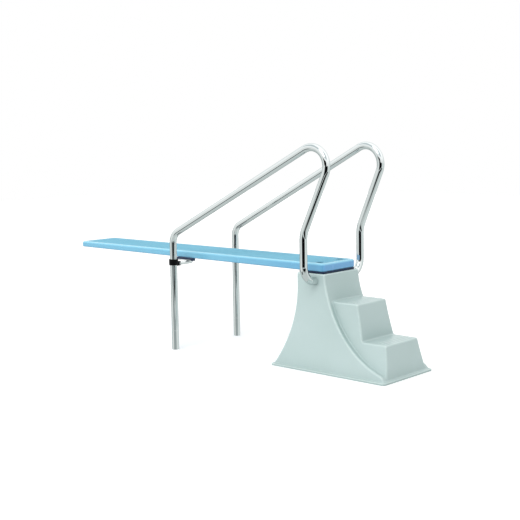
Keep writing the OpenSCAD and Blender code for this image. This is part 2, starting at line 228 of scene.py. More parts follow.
def mirrored(obj, name):
    """A copy of obj on the other side of the centre line."""
    vertices = [(v.co.x, -v.co.y, v.co.z) for v in obj.data.vertices]
    faces = [list(reversed(p.vertices)) for p in obj.data.polygons]
    return new_object(name, vertices, faces)


def both_sides(name, obj):
    """obj and its mirror image as one object."""
    return join(name, obj, mirrored(obj, name + "_far"))


def even_shading(obj):
    """Keeps wide flat faces flat next to rounded edges."""
    modifier = obj.modifiers.new("even_shading", "WEIGHTED_NORMAL")
    modifier.keep_sharp = True


def place(obj, origin, direction=(0, 0, 1), spin=0):
    """Turns obj by spin degrees about Z, then its Z axis along direction, and moves it to origin."""
    turn = Vector(direction).to_track_quat("Z", "Y").to_matrix().to_4x4()
    obj.data.transform(Matrix.Translation(origin) @ turn @ Matrix.Rotation(math.radians(spin), 4, "Z"))
    return obj


def lathe(name, profile, segments=64):
    """A closed solid turned about Z from (radius, height) points, listed from top to bottom."""
    angles = [2 * math.pi * i / segments for i in range(segments)]
    vertices, rings = [], []
    for r, z in profile:
        if r < 1e-9:
            rings.append([len(vertices)])
            vertices.append((0, 0, z))
        else:
            rings.append(range(len(vertices), len(vertices) + segments))
            vertices += [(r * math.cos(a), r * math.sin(a), z) for a in angles]
    faces = []
    open_ended = len(rings[0]) > 1
    pairs = list(zip(rings, rings[1:])) + ([(rings[-1], rings[0])] if open_ended else [])
    for a, b in pairs:
        for i in range(segments):
            j = (i + 1) % segments
            corners = [a[i % len(a)], b[i % len(b)], b[j % len(b)], a[j % len(a)]]
            faces.append(list(dict.fromkeys(corners)))
    return new_object(name, vertices, faces)


def arc(centre, radius, start, end, steps=5):
    """Points of an arc, from angle start to end in degrees."""
    angles = np.radians(np.linspace(start, end, steps + 1))
    return [(centre[0] + radius * math.cos(a), centre[1] + radius * math.sin(a)) for a in angles]


def drill(radius, reach):
    """A cutter for a round hole along Z, reach long on either side of z = 0."""
    return lathe("drill", [(0, reach), (radius, reach), (radius, -reach), (0, -reach)], 32)


def at_bolts(name, make, *heights):
    """What make() gives, at both board bolts and at each height, as one object."""
    return join(name, *[
        place(make(), (BOLT_X, side * BOLT_Y, z)) for side in (-1, 1) for z in heights])


def stands_for(obj, slot, *nodes):
    """Hides the CAD nodes that obj replaces; slot, what it is made of, is not used."""
    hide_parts(*nodes)
    return obj


def fixed(obj, slot, *nodes):
    """The same for a piece of the fixed frame."""
    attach(obj, "frame")
    return stands_for(obj, slot, *nodes)


def fixed_pair(left, right_name, slot, node):
    """A fixed left-hand piece and its mirror image, for the nodes node + _left and _right."""
    right = mirrored(left, right_name)
    fixed(left, slot, node + "_left")
    fixed(right, slot, node + "_right")
    return left, right


def hex_prism(name, across_flats, bottom, top):
    """A hexagonal bar along Z."""
    r = across_flats / math.sqrt(3)
    angles = [math.radians(60 * i + 30) for i in range(6)]
    vertices = [(r * math.cos(a), r * math.sin(a), z) for z in (bottom, top) for a in angles]
    sides = [(i, (i + 1) % 6, 6 + (i + 1) % 6, 6 + i) for i in range(6)]
    return new_object(name, vertices, [range(6), range(6, 12)] + sides)


def nut(name, across_flats, height, hole_r):
    """A hexagonal nut on z = 0, with chamfered corners and a bore."""
    solid = hex_prism(name, across_flats, 0, height)
    edge = across_flats / 2 * 0.97
    corner = across_flats / math.sqrt(3) * 1.01
    drop = (corner - edge) * math.tan(math.radians(30))
    envelope = lathe("envelope", [
        (0, height), (edge, height), (corner, height - drop), (corner, drop), (edge, 0), (0, 0)])
    cut(solid, envelope, "INTERSECT")
    lip = 0.5 * MM
    bore = lathe("bore", [
        (0, height + lip), (hole_r + 2 * lip, height + lip), (hole_r, height - lip),
        (hole_r, lip), (hole_r + 2 * lip, -lip), (0, -lip)])
    return cut(solid, bore)


def washer(name, outer_r, inner_r, thickness):
    """A flat washer on z = 0 with eased edges."""
    e = 0.3 * MM
    return lathe(name, [
        (inner_r + e, thickness), (outer_r - e, thickness), (outer_r, thickness - e),
        (outer_r, e), (outer_r - e, 0), (inner_r + e, 0), (inner_r, e), (inner_r, thickness - e)])


def bent_path(corners, bends, step=3):
    """Points and directions along straights that are joined by arcs, one bend radius per corner."""
    p = [Vector(c) for c in corners]
    path = [(p[0], (p[1] - p[0]).normalized())]
    for i, radius in enumerate(bends, 1):
        a = (p[i] - p[i - 1]).normalized()
        b = (p[i + 1] - p[i]).normalized()
        turn = a.angle(b)
        inward = (b - a * a.dot(b)).normalized()
        start = p[i] - a * radius * math.tan(turn / 2)
        steps = max(2, math.ceil(math.degrees(turn) / step))
        for k in range(steps + 1):
            t = turn * k / steps
            point = start + radius * (a * math.sin(t) + inward * (1 - math.cos(t)))
            path.append((point, a * math.cos(t) + inward * math.sin(t)))
    path.append((p[-1], (p[-1] - p[-2]).normalized()))
    return path


def tube(name, path, outer_r, inner_r, marks=(), segments=64):
    """A hollow tube along path. marks are (distance along the first straight, outer radius)."""
    ease = 0.8 * MM
    side = Vector((0, 1, 0))
    frames = []
    for point, direction in path:
        side = (side - direction * side.dot(direction)).normalized()
        frames.append((point, side, direction.cross(side), direction))
    first, last = frames[0], frames[-1]

    def moved(f, distance):
        return (f[0] + f[3] * distance, f[1], f[2], f[3])

    outer = [(first, outer_r - ease), (moved(first, ease), outer_r)]
    outer += [(moved(first, distance), r) for distance, r in marks]
    outer += [(f, outer_r) for f in frames[1:-1]]
    outer += [(moved(last, -ease), outer_r), (last, outer_r - ease)]
    rings = outer + [(f, inner_r) for f in reversed(frames)]
    angles = [2 * math.pi * i / segments for i in range(segments)]
    vertices = [
        f[0] + r * (f[1] * math.cos(a) + f[2] * math.sin(a)) for f, r in rings for a in angles]
    faces = []
    for i in range(len(rings)):
        j = (i + 1) % len(rings)
        for k in range(segments):
            n = (k + 1) % segments
            faces.append([i * segments + k, i * segments + n, j * segments + n, j * segments + k])
    return new_object(name, vertices, faces)


def plank(name, x0, x1, half_w, levels, stations=70, columns=8, corner_steps=8):
    """A long slab whose rings follow a rectangle with round corners.
    levels run from the bottom face to the top one, as (inset, corner radius, height of x)."""
    rings = []
    for inset, corner, height in levels:
        start, end, w = x0 + inset, x1 - inset, half_w - inset
        turn = np.radians(np.linspace(0, 90, corner_steps + 1))
        rear = [(start + corner * (1 - math.cos(t)), w - corner * (1 - math.sin(t))) for t in turn]
        middle = [(x, w) for x in np.linspace(start + corner, end - corner, stations)[1:-1]]
        half = rear + middle + [(start + end - x, y) for x, y in reversed(rear)]
        rings.append([(x, y, height(x)) for x, y in half])
    count = len(rings[0])
    share = np.linspace(1, -1, columns + 1)
    vertices, grids = [], []
    for ring in rings:
        grid = []
        for i, (x, y, z) in enumerate(ring):
            full = i in (0, count - 1) or ring is rings[0] or ring is rings[-1]
            keep = range(columns + 1) if full else (0, columns)
            row = {}
            for c in keep:
                row[c] = len(vertices)
                vertices.append((x, y * share[c], z))
            grid.append(row)
        grids.append(grid)

    def border(grid):
        near = [grid[i][0] for i in range(count)]
        tip = [grid[count - 1][c] for c in range(1, columns)]
        far = [grid[i][columns] for i in reversed(range(count))]
        rear = [grid[0][c] for c in reversed(range(1, columns))]
        return near + tip + far + rear

    faces = []
    for lower, upper in zip(grids, grids[1:]):
        a, b = border(lower), border(upper)
        for i in range(len(a)):
            j = (i + 1) % len(a)
            faces.append((a[i], a[j], b[j], b[i]))
    for grid in (grids[0], grids[-1]):
        for i in range(count - 1):
            for c in range(columns):
                faces.append((grid[i][c], grid[i + 1][c], grid[i + 1][c + 1], grid[i][c + 1]))
    return new_object(name, vertices, faces)


def flat(z):
    """A height for plank() that stays the same."""
    return lambda x: z


def edge_levels(bottom, top, corner, bottom_r, top_r, steps=6):
    """Levels for plank(): a side wall with a rounded bottom edge and a rounded top edge."""
    levels = []
    for t in np.radians(np.linspace(0, 90, steps + 1)):
        inset = bottom_r * (1 - math.sin(t))
        rise = bottom_r * (1 - math.cos(t))
        levels.append((inset, corner - inset, lambda x, rise=rise: bottom(x) + rise))
    for t in np.radians(np.linspace(0, 90, steps + 1)):
        inset = top_r * (1 - math.cos(t))
        drop = top_r * (1 - math.sin(t))
        levels.append((inset, corner - inset, lambda x, drop=drop: top(x) - drop))
    return levels


# ---------------------------------------------------------------- solids from distance fields
def meet(a, b, r):
    """The part that is inside both, with the edge between them rounded to r."""
    return np.minimum(-r, np.maximum(a, b)) + np.hypot(np.maximum(r + a, 0), np.maximum(r + b, 0))


def blend_into(a, b, r):
    """The part that is inside either, with a fillet of radius r between them."""
    return np.maximum(r, np.minimum(a, b)) - np.hypot(np.maximum(r - a, 0), np.maximum(r - b, 0))


def slab_field(v, low, high):
    return np.maximum(low - v, v - high)


def grid_lines(low, high, coarse, fine=()):
    """Grid positions from low to high, closer together in each (start, end, step) of fine."""
    lines = [low]
    while lines[-1] < high:
        x = lines[-1]
        step = min([s for a, b, s in fine if a - 1e-9 <= x < b - 1e-9] + [coarse])
        ahead = [a for a, b, s in fine if x + 1e-9 < a < x + step]
        lines.append(min(ahead) if ahead else x + step)
    return np.array(lines)


def net(name, field, xs, ys, zs, smooth_angle=40):
    """The surface where field(x, y, z) is 0, as quads on a grid, moved exactly onto the surface."""
    lines = (xs, ys, zs)
    grid = field(xs[:, None, None], ys[None, :, None], zs[None, None, :])
    grid = np.broadcast_to(grid, [len(v) for v in lines])
    cells = np.array(grid.shape) - 1
    total = np.zeros((*cells, 3))
    hits = np.zeros(cells)
    crossings = []
    for axis in range(3):
        low = grid.take(range(grid.shape[axis] - 1), axis)
        high = grid.take(range(1, grid.shape[axis]), axis)
        where = np.argwhere((low < 0) != (high < 0))
        at = tuple(where.T)
        share = low[at] / (low[at] - high[at])
        point = np.stack([lines[k][where[:, k]] for k in range(3)], 1)
        step = lines[axis][where[:, axis] + 1] - lines[axis][where[:, axis]]
        point[:, axis] += share * step
        u, v = (axis + 1) % 3, (axis + 2) % 3
        around = []
        for du, dv in ((0, 0), (1, 0), (1, 1), (0, 1)):
            cell = where.copy()
            cell[:, u] -= du
            cell[:, v] -= dv
            around.append(cell)
        fits = [np.all((c >= 0) & (c < cells), 1) for c in around]
        for cell, ok in zip(around, fits):
            np.add.at(total, tuple(cell[ok].T), point[ok])
            np.add.at(hits, tuple(cell[ok].T), 1)
        inside_grid = np.all(fits, 0)
        outward = (low[at] < 0)[inside_grid]
        crossings.append(([c[inside_grid] for c in around], outward))
    number = np.full(cells, -1)
    used = hits > 0
    number[used] = np.arange(used.sum())
    vertices = total[used] / hits[used][:, None]
    faces = []
    for around, outward in crossings:
        quads = np.stack([number[tuple(c.T)] for c in around], 1)
        quads[~outward] = quads[~outward][:, ::-1]
        faces.append(quads)
    faces = np.concatenate(faces)
    h = 0.05 * MM
    for _ in range(4):
        value = field(*vertices.T)
        slope = np.stack([
            (field(*(vertices + h * e).T) - field(*(vertices - h * e).T)) / (2 * h)
            for e in np.eye(3)], 1)
        size = np.maximum((slope ** 2).sum(1), 0.2)
        vertices = vertices - (value / size)[:, None] * slope
    return new_object(name, vertices, faces, smooth_angle)


def flare_field(across, z, wall, top, radius):
    """A wall that is upright above top and curves outward below it."""
    return np.where(z > top, across - wall, radius - np.hypot(across - wall - radius, z - top))


def flare_radius(run, drop):
    return (run * run + drop * drop) / (2 * run)


def riser_field(x, z, nose_x, nose_z, foot_x, foot_z):
    """A leaning riser through its nose and its foot."""
    run, rise = nose_x - foot_x, nose_z - foot_z
    return (run * (z - nose_z) - rise * (x - nose_x)) / math.hypot(run, rise)


def tower_field(x, y, z):
    drop = FLARE_Z - FLANGE_T
    front_run = BASE_X + BASE_HALF_L - FLANGE_LIP - TOWER_FRONT
    side_run = BASE_HALF_W - FLANGE_LIP - TOWER_HALF_W
    front = flare_field(x, z, TOWER_FRONT, FLARE_Z, flare_radius(front_run, drop))
    side = flare_field(abs(y), z, TOWER_HALF_W, FLARE_Z, flare_radius(side_run, drop))
    around = SWEEP_R - np.hypot(x - SWEEP_X, z - SWEEP_Z)
    sweep = np.where(x > SWEEP_X, around, z - (SWEEP_Z - SWEEP_R))
    fin_end = (z - 14 * MM - 1.4 * (x - BASE_X + BASE_HALF_L - FLANGE_LIP)) / math.hypot(1, 1.4)
    sweep = meet(sweep, fin_end, 8 * MM)
    body = meet(meet(front, sweep, 6 * MM), side, 8 * MM)
    along = abs(x - BASE_X) - BASE_HALF_L + FLANGE_LIP
    across = abs(y) - BASE_HALF_W + FLANGE_LIP
    body = meet(body, meet(along, across, 6 * MM), 4 * MM)
    return meet(body, z - TOWER_TOP, 6 * MM)


def stair_side_field(y, z):
    radius = flare_radius(STAIR_FLARE, STAIR_FLARE_Z - FLANGE_T)
    return flare_field(abs(y), z, STAIR_HALF_W, STAIR_FLARE_Z, radius)


def low_riser_field(x, z):
    return riser_field(x, z, NOSE_LOW, TREAD_LOW, FOOT_LOW, FLANGE_T)


def step_field(x, y, z, nose, tread, riser):
    """One step: its riser, its tread and the ridges on the tread."""
    body = meet(z - tread, riser, 8 * MM)
    r = 4 * MM
    for i in range(RIDGE_COUNT):
        across = np.hypot(x - nose - RIDGE_SETBACK - i * RIDGE_PITCH, z - tread + r - 2 * MM) - r
        ridge = meet(across, abs(y) - STAIR_HALF_W + 12 * MM, 3 * MM)
        body = blend_into(body, ridge, 1.5 * MM)
    return body


def stair_field(x, y, z):
    high_riser = riser_field(x, z, NOSE_HIGH, TREAD_HIGH, FOOT_HIGH, TREAD_LOW)
    upper = step_field(x, y, z, NOSE_HIGH, TREAD_HIGH, high_riser)
    lower = step_field(x, y, z, NOSE_LOW, TREAD_LOW, low_riser_field(x, z))
    steps = meet(blend_into(upper, lower, 10 * MM), stair_side_field(y, z), 8 * MM)
    inside_tower = x - (TOWER_FRONT - 2 * SHELL_WALL)
    return np.maximum(steps, inside_tower)


def flange_field(x, y, z):
    along = abs(x - BASE_X) - BASE_HALF_L + FLANGE_CORNER
    across = abs(y) - BASE_HALF_W + FLANGE_CORNER
    inner = np.minimum(np.maximum(along, across), 0)
    plan = np.hypot(np.maximum(along, 0), np.maximum(across, 0)) + inner - FLANGE_CORNER
    return meet(plan, z - FLANGE_T, 4 * MM)


def pedestal_field(x, y, z):
    # The fins end beside the lowest riser, not across it.
    across_riser = np.maximum(stair_side_field(y, z) - 3 * MM, -low_riser_field(x, z) - 10 * MM)
    tower = np.maximum(tower_field(x, y, z), -across_riser)
    body = blend_into(tower, stair_field(x, y, z), 7 * MM)
    return blend_into(body, flange_field(x, y, z), 10 * MM)


def pedestal_moulding():
    """The hollow glass-fibre pedestal, open underneath."""
    low_x, high_x = BASE_X - BASE_HALF_L, BASE_X + BASE_HALF_L
    ridge_span = RIDGE_SETBACK + RIDGE_COUNT * RIDGE_PITCH
    xs = grid_lines(low_x - 6 * MM, high_x + 6 * MM, 5 * MM, [
        (low_x - 6 * MM, low_x + 18 * MM, 3 * MM),
        (low_x + 18 * MM, NOSE_LOW + ridge_span - 14 * MM, 2 * MM),
        (FOOT_HIGH - 14 * MM, NOSE_HIGH - 8 * MM, 2.5 * MM),
        (NOSE_HIGH - 8 * MM, NOSE_HIGH + ridge_span - 14 * MM, 2 * MM),
        (TOWER_REAR - 4 * MM, TOWER_REAR + 12 * MM, 3 * MM),
        (TOWER_FRONT - 12 * MM, TOWER_FRONT + 8 * MM, 3 * MM),
        (high_x - 24 * MM, high_x + 6 * MM, 3 * MM)])
    edge = STAIR_HALF_W - 16 * MM
    ys = grid_lines(-BASE_HALF_W - 6 * MM, BASE_HALF_W + 6 * MM, 8 * MM, [
        (-BASE_HALF_W - 6 * MM, -edge, 3.2 * MM), (edge, BASE_HALF_W + 6 * MM, 3.2 * MM)])
    zs = grid_lines(-6 * MM, TOWER_TOP + 6 * MM, 6 * MM, [
        (-6 * MM, 30 * MM, 2.5 * MM),
        (TREAD_LOW - 12 * MM, TREAD_LOW + 12 * MM, 2.5 * MM),
        (TREAD_HIGH - 12 * MM, TREAD_HIGH + 12 * MM, 2.5 * MM),
        (TOWER_TOP - 10 * MM, TOWER_TOP + 6 * MM, 2.5 * MM)])
    shell = net("pedestal_moulding", pedestal_field, xs, ys, zs)
    bm = bmesh.new()
    bm.from_mesh(shell.data)
    every = bm.verts[:] + bm.edges[:] + bm.faces[:]
    bmesh.ops.bisect_plane(bm, geom=every, plane_co=(0, 0, 0), plane_no=(0, 0, -1), clear_outer=True)
    bm.to_mesh(shell.data)
    bm.free()
    wall = shell.modifiers.new("wall", "SOLIDIFY")
    wall.thickness = SHELL_WALL
    wall.offset = -1
    apply_modifiers(shell)
    holes = [at_bolts("top", lambda: drill(BOLT_HOLE_R, 30 * MM), TOWER_TOP)]
    for side in (-1, 1):
        place_of_end = (RAIL_END_X, side * TOWER_HALF_W, RAIL_END_Z)
        holes.append(place(drill(RAIL_HOLE_R, 30 * MM), place_of_end, (0, 1, 0)))
    cut(shell, join("holes", *holes))
    even_shading(shell)
    return fixed(shell, "pale_gelcoat", "pedestal_shell")


# ---------------------------------------------------------------- board
def bolt_cutter(name, radius, top, depth, through):
    """Two recesses with eased rims, and a hole below each if through."""
    lip = 2 * MM
    bottom = top - depth
    profile = [(0, top + lip), (radius + lip, top + lip)]
    profile += arc((radius + lip, top - lip), lip, 90, 180)
    profile += arc((radius - lip, bottom + lip), lip, 0, -90)
    if through:
        profile += [(BOLT_HOLE_R, bottom), (BOLT_HOLE_R, BOARD_BOTTOM - 5 * MM)]
        profile += [(0, BOARD_BOTTOM - 5 * MM)]
    else:
        profile += [(0, bottom)]
    return at_bolts(name, lambda: lathe("part", profile, 48), 0)


def board_layer(obj, slot, layer):
    """One of the board's layers; its rear and front CAD nodes are hidden."""
    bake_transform(obj)
    return stands_for(obj, slot, layer + "_rear", layer + "_front")


def board_moulding():
    levels = edge_levels(board_under, flat(BOARD_TOP), BOARD_CORNER, 6 * MM, 13 * MM, 8)
    for step, drop in ((-0.8 * MM, 0), (-0.25 * MM, 0.25 * MM), (0, GRIT_T)):
        levels.append((GRIT_MARGIN + step, GRIT_CORNER, flat(BOARD_TOP - drop)))
    board = plank("board_moulding", BOARD_REAR, BOARD_TIP, BOARD_HALF_W, levels)
    cut(board, bolt_cutter("recess", RECESS_R, BOARD_TOP - GRIT_T, RECESS_DEPTH - GRIT_T, True))
    even_shading(board)
    return board_layer(board, "blue_gelcoat", "board_skin")


def board_core():
    inset = BOARD_SKIN + 0.1 * MM

    def bottom(x):
        return board_under(x) + inset

    levels = edge_levels(bottom, flat(BOARD_TOP - inset), BOARD_CORNER - inset, 1 * MM, 1 * MM, 1)
    core = plank("board_plywood", BOARD_REAR + inset, BOARD_TIP - inset, BOARD_HALF_W - inset, levels)
    boss = RECESS_R + BOARD_SKIN + 0.1 * MM
    cut(core, bolt_cutter("boss", boss, BOARD_TOP + 5 * MM, 60 * MM, False))
    return board_layer(core, "plywood", "board_core")


def board_grit():
    gap = 0.1 * MM
    inset = GRIT_MARGIN + gap
    levels = edge_levels(
        flat(BOARD_TOP - GRIT_T + gap), flat(BOARD_TOP + 0.2 * MM), GRIT_CORNER, 0.1 * MM, 0.5 * MM, 2)
    grit = plank("board_non_slip", BOARD_REAR + inset, BOARD_TIP - inset, BOARD_HALF_W - inset, levels)
    cut(grit, bolt_cutter("opening", RECESS_R + 2.5 * MM, BOARD_TOP + 3 * MM, 8 * MM, False))
    return board_layer(grit, "blue_grit", "non_slip")


def rear_pad():
    """The rubber sheet between the board and the pedestal, squeezed out a little at its sides."""
    low, high = span("rear_mount_pad")
    bulge = 3.5 * MM
    corner = 6 * MM
    reach = math.radians(80)
    middle = (low[2] + high[2]) / 2
    levels = []
    for t in np.linspace(-reach, reach, 9):
        z = middle + math.sin(t) / math.sin(reach) * (high[2] - middle)
        inset = bulge * (1 - math.cos(t))
        levels.append((inset, corner - inset, flat(z)))
    pad = plank("rear_rubber_pad", low[0], high[0], high[1], levels, 12, 12, 4)
    cut(pad, at_bolts("holes", lambda: drill(BOLT_HOLE_R, 9 * MM), middle))
    return fixed(pad, "navy_rubber", "rear_mount_pad")


# ---------------------------------------------------------------- fasteners
def socket_screw(name, shank_r, length, head_r, head_h, socket):
    """A button-head screw: its seat is z = 0, its head is above and its shank below."""
    dome = arc((head_r - 1.6 * MM, head_h - 1.6 * MM), 1.6 * MM, 90, 0, 5)
    screw = lathe(name, [(0, head_h), *dome, (head_r, 0.4 * MM), (head_r - 0.4 * MM, 0), (shank_r, 0),
                         (shank_r, -length + 1 * MM), (shank_r - 1 * MM, -length), (0, -length)])
    return cut(screw, hex_prism("socket", socket, head_h - 3 * MM, head_h + 2 * MM))


def board_bolts():
    seat = BOARD_TOP - RECESS_DEPTH + BOLT_WASHER_T + 0.1 * MM

    def bolt():
        return socket_screw(
            "bolt", BOLT_R, seat - bolt_low[2], BOLT_HEAD_R, bolt_high[2] - seat, 8 * MM)

    return fixed(at_bolts("board_hold_down_bolts", bolt, seat), "plain_steel", "board_bolts")


def board_washers():
    low, high = span("board_bolt_washers")
    washers = at_bolts(
        "board_hold_down_washers", lambda: washer("washer", 18 * MM, BOLT_R + 0.2 * MM, BOLT_WASHER_T),
        high[2] - BOLT_WASHER_T, low[2])
    return fixed(washers, "plain_steel", "board_bolt_washers")


def board_nuts():
    low, high = span("board_bolt_nuts")

    def turned_nut():
        return place(nut("nut", 18 * MM, high[2] - low[2], BOLT_R + NUT_PLAY), (0, 0, 0), spin=30)

    return fixed(at_bolts("board_hold_down_nuts", turned_nut, low[2]), "plain_steel", "board_bolt_nuts")


def clamp_fasteners():
    """A socket screw through each clamp's lug, with a nut on its front side."""
    nut_low, nut_high = span("clamp_nuts")
    low, high = span("clamp_bolts")
    head_h, head_r = 6 * MM, 6.5 * MM
    seat = high[0] - head_h
    screw = socket_screw("screw", CLAMP_BOLT_R, seat - low[0], head_r, head_h, 6 * MM)
    place(screw, (seat, CLAMP_BOLT_Y, ARM_Z), (1, 0, 0))
    screws = fixed(both_sides("clamp_screws", screw), "plain_steel", "clamp_bolts")
    single = nut("nut", 13 * MM, nut_high[0] - nut_low[0], CLAMP_BOLT_R + NUT_PLAY)
    place(single, (nut_low[0], CLAMP_BOLT_Y, ARM_Z), (1, 0, 0))
    nuts = fixed(both_sides("clamp_hex_nuts", single), "plain_steel", "clamp_nuts")
    return screws, nuts


def rail_fasteners():
    """The hexagonal bolts that hold the rail ends from inside the pedestal."""
    head_h = 6.4 * MM
    inner_y = 142.2 * MM
    head = nut("head", 15 * MM, head_h, 0.5 * MM)
    place(head, (RAIL_END_X, inner_y, RAIL_END_Z), (0, 1, 0), 30)
    r, ease = 5 * MM, 1 * MM
    length = rail_bolt_high[1] - inner_y - head_h
    shank = lathe("shank", [(0, length), (r - ease, length), (r, length - ease), (r, -ease), (0, -ease)])
    place(shank, (RAIL_END_X, inner_y + head_h, RAIL_END_Z), (0, 1, 0))
    return fixed(both_sides("rail_hold_bolts", join("bolt", head, shank)), "plain_steel", "rail_end_bolts")


# ---------------------------------------------------------------- rails
def handrails():
    path = bent_path(RAIL_PATH, RAIL_BENDS, 2.5)
    groove = 0.5 * MM
    marks = [
        (MARK_Z - groove, TUBE_R), (MARK_Z, TUBE_R - groove),
        (MARK_Z + MARK_H, TUBE_R - groove), (MARK_Z + MARK_H + groove, TUBE_R)]
    left = tube("handrail_tube_left", path, TUBE_R, BORE_R, marks)
    return fixed_pair(left, "handrail_tube_right", "polished_steel", "handrail")


def leg_plugs():
    """Black plugs close the tube ends that stand on the deck."""
    top = plug_high[2]
    profile = [(0, top), (plug_r - 2 * MM, top), (plug_r - 0.5 * MM, top - 3 * MM)]
    for i in range(4):
        z = top - (6 + 4 * i) * MM
        profile += [(plug_r - 0.5 * MM, z), (plug_r, z - 0.7 * MM), (plug_r, z - 2.2 * MM),
                    (plug_r - 0.5 * MM, z - 3 * MM)]
    profile += [(plug_r, 2 * MM), (plug_r - 1 * MM, 0), (0, 0.6 * MM)]
    plug = place(lathe("plug", profile), (LEG_X, LEG_Y, 0))
    return fixed(both_sides("leg_tube_plugs", plug), "black_plastic", "leg_end_plugs")


# ---------------------------------------------------------------- front supports
def clamp_field(x, y, z):
    """A collar on the leg with a split lug towards the board."""
    radius = clamp_high[1] - LEG_Y
    from_leg = np.hypot(x - LEG_X, y - LEG_Y)
    top = clamp_high[2]
    collar_h = 37 * MM
    collar = meet(from_leg - radius, slab_field(z, top - collar_h, top), 2.5 * MM)
    lug = meet(abs(x - LEG_X) - 16 * MM, abs(z - ARM_Z) - 14 * MM, 4 * MM)
    lug = meet(lug, np.maximum(clamp_low[1] - y, y - LEG_Y), 2.5 * MM)
    body = blend_into(collar, lug, 4 * MM)
    body = meet(body, TUBE_R + 0.1 * MM - from_leg, 0.8 * MM)
    arm_bore = np.maximum(np.hypot(x - LEG_X, z - ARM_Z) - ARM_R - 0.1 * MM, y - LEG_Y)
    body = meet(body, -arm_bore, 0.8 * MM)
    slit = np.maximum(abs(x - LEG_X) - 1.5 * MM, y - LEG_Y + TUBE_R)
    return meet(body, -slit, 0.5 * MM)


def cut_clamp_bolt_hole(obj, play, reach):
    hole = drill(CLAMP_BOLT_R + play, reach)
    return cut(obj, place(hole, (LEG_X, CLAMP_BOLT_Y, ARM_Z), (1, 0, 0)))


def clamps():
    step = 1.1 * MM
    lines = [np.arange(clamp_low[k] - 3 * step, clamp_high[k] + 3 * step, step) for k in range(3)]
    left = net("clamp_collar_left", clamp_field, *lines)
    cut_clamp_bolt_hole(left, 0.2 * MM, 60 * MM)
    return fixed_pair(left, "clamp_collar_right", "black_plastic", "leg_clamp")


def support_arms():
    """A solid arm with a domed inner end and a flat seat for the saddle plate."""
    r = ARM_R
    length = arm_high[1] - arm_low[1]
    dome = arc((0, length - r), r, 90, 0, 12)
    left = lathe("support_bar_left", [*dome, (r, 1 * MM), (r - 1 * MM, 0), (0, 0)])
    place(left, (LEG_X, arm_high[1], ARM_Z), (0, -1, 0))
    half_w, corner = 80 * MM, 1 * MM
    seat = plank("seat", LEG_X - 2 * r, LEG_X + 2 * r, half_w, [
        (0, corner, flat(saddle_low[2] - 0.1 * MM)),
        (0, corner, flat(saddle_low[2] + 20 * MM))], 4, 2, 1)
    seat.data.transform(Matrix.Translation((0, saddle_high[1] - half_w, 0)))
    cut(left, seat)
    cut_clamp_bolt_hole(left, 0.1 * MM, 40 * MM)
    return fixed_pair(left, "support_bar_right", "polished_steel", "support_arm")


def saddles():
    """The plate on each arm that carries a rubber pad."""
    mid_y = (SADDLE_INNER_Y + saddle_high[1]) / 2
    half = (saddle_high[1] - SADDLE_INNER_Y) / 2
    levels = edge_levels(flat(saddle_low[2]), flat(saddle_high[2]), 5 * MM, 0.8 * MM, 0.8 * MM, 3)
    plate = plank("plate", saddle_low[0], saddle_high[0], half, levels, 10, 4, 5)
    plate.data.transform(Matrix.Translation((0, mid_y, 0)))
    return fixed(both_sides("saddle_seat_plates", plate), "plain_steel", "saddle_plates")


def support_pad_field(x, y, z):
    """Rubber that fills the space under the board and hooks over both ends of its plate."""
    low, high = support_pad_low, support_pad_high
    mid_y = (SADDLE_INNER_Y + high[1]) / 2
    half = (high[1] - SADDLE_INNER_Y) / 2
    outline = meet(slab_field(x, low[0], high[0]), abs(y - mid_y) - half, 4 * MM)
    tall = meet(z - board_under(x) + 0.1 * MM, low[2] - z, 2 * MM)
    body = meet(outline, tall, 1.5 * MM)
    room = np.maximum(slab_field(x, saddle_low[0] - 0.1 * MM, saddle_high[0] + 0.1 * MM),
                      z - saddle_high[2] - 0.1 * MM)
    return meet(body, -room, 0.6 * MM)


def support_pads():
    step = 1.25 * MM
    low, high = support_pad_low, support_pad_high
    xs = np.arange(low[0] - 3 * step, high[0] + 3 * step, step)
    ys = np.arange(SADDLE_INNER_Y - 3 * step, high[1] + 3 * step, step)
    zs = np.arange(low[2] - 3 * step, high[2] + 3 * step, step / 2)
    pads = both_sides("board_support_pads", net("pad", support_pad_field, xs, ys, zs))
    return fixed(pads, "navy_rubber", "support_pads")


# ---------------------------------------------------------------- node trees
class Nodes:
    """Short calls that build one node tree. A value is a socket, a number or a colour."""

    def __init__(self, tree):
        self.tree = tree

    def put(self, value, socket):
        if isinstance(value, bpy.types.NodeSocket):
            self.tree.links.new(value, socket)
        elif isinstance(value, tuple) and socket.type == "RGBA":
            socket.default_value = (*value, 1)
        else:
            socket.default_value = value

    def add(self, kind, inputs=None, **settings):
        node = self.tree.nodes.new("ShaderNode" + kind)
        for key, value in settings.items():
            setattr(node, key, value)
        for key, value in (inputs or {}).items():
            self.put(value, node.inputs[key])
        return node

    def do(self, operation, *values):
        node = self.add("Math", operation=operation)
        for value, socket in zip(values, node.inputs):
            self.put(value, socket)
        return node.outputs[0]

    def product(self, first, *others):
        for other in others:
            first = self.do("MULTIPLY", first, other)
        return first

    def rise(self, value, start, end, low=0.0, high=1.0):
        """low at start and high at end, in a straight line and clamped."""
        node = self.add("MapRange", {
            "Value": value, "From Min": start, "From Max": end, "To Min": low, "To Max": high})
        return node.outputs["Result"]

    def colour(self, share, a, b):
        """From colour a to colour b."""
        return self.add("Mix", {0: share, 6: a, 7: b}, data_type="RGBA").outputs[2]

    def axes(self, vector):
        return self.add("SeparateXYZ", {0: vector}).outputs


def blank_material(name):
    material = bpy.data.materials.new(name)
    material.use_nodes = True
    material.node_tree.nodes.clear()
    return material


